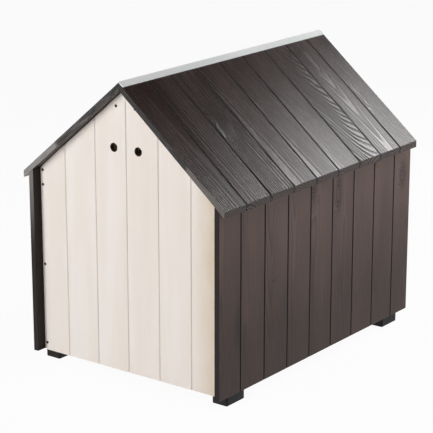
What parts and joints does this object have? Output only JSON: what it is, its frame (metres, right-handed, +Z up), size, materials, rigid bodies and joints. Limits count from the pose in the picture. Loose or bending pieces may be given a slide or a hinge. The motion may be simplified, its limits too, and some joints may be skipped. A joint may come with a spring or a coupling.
{
  "type": "dog house",
  "caption": "Small wooden dog house with a pitched roof, tongue and groove boards, arched doorway, vent holes, ridge cap and raised feet.",
  "frame": {"origin": "on the ground, under the centre of the house", "axes": "+Z up, +Y towards the closed back gable with the vent holes, doorway at -Y, X across the house"},
  "size_m": [0.562, 0.7692, 0.6877],
  "materials": {
    "gable_paint": "cream paint, satin",
    "wall_stain": "dark brown stain, satin",
    "roof_stain": "very dark brown stain, brushed grain, semi-gloss",
    "bare_wood": "planed softwood, unpainted",
    "cap_metal": "satin",
    "foot_plastic": "matt black",
    "screw_steel": "black"
  },
  "bodies": {
    "root": {"back_board_1": "gable_paint", "back_board_2": "gable_paint", "back_board_3": "gable_paint", "back_board_4": "gable_paint", "back_board_5": "gable_paint", "back_board_6": "gable_paint", "corner_battens": "bare_wood", "cross_bearers": "bare_wood", "feet": "foot_plastic", "floor_boards": "bare_wood", "front_board_1": "gable_paint", "front_board_2": "gable_paint", "front_board_3": "gable_paint", "front_board_4": "gable_paint", "front_board_5": "gable_paint", "front_board_6": "gable_paint", "front_sill_board_1": "gable_paint", "front_sill_board_2": "gable_paint", "gable_battens": "bare_wood", "left_roof_board_1": "roof_stain", "left_roof_board_2": "roof_stain", "left_roof_board_3": "roof_stain", "left_roof_board_4": "roof_stain", "left_roof_board_5": "roof_stain", "left_roof_board_6": "roof_stain", "left_roof_board_7": "roof_stain", "left_roof_board_8": "roof_stain", "left_roof_board_9": "roof_stain", "left_wall_board_1": "wall_stain", "left_wall_board_2": "wall_stain", "left_wall_board_3": "wall_stain", "left_wall_board_4": "wall_stain", "left_wall_board_5": "wall_stain", "left_wall_board_6": "wall_stain", "left_wall_board_7": "wall_stain", "left_wall_board_8": "wall_stain", "left_wall_board_9": "wall_stain", "ridge_cap": "cap_metal", "ridge_purlins": "bare_wood", "right_roof_board_1": "roof_stain", "right_roof_board_2": "roof_stain", "right_roof_board_3": "roof_stain", "right_roof_board_4": "roof_stain", "right_roof_board_5": "roof_stain", "right_roof_board_6": "roof_stain", "right_roof_board_7": "roof_stain", "right_roof_board_8": "roof_stain", "right_roof_board_9": "roof_stain", "right_wall_board_1": "wall_stain", "right_wall_board_2": "wall_stain", "right_wall_board_3": "wall_stain", "right_wall_board_4": "wall_stain", "right_wall_board_5": "wall_stain", "right_wall_board_6": "wall_stain", "right_wall_board_7": "wall_stain", "right_wall_board_8": "wall_stain", "right_wall_board_9": "wall_stain", "screws": "screw_steel", "side_bearers": "bare_wood", "wall_rails": "bare_wood"}
  },
  "joints": []
}
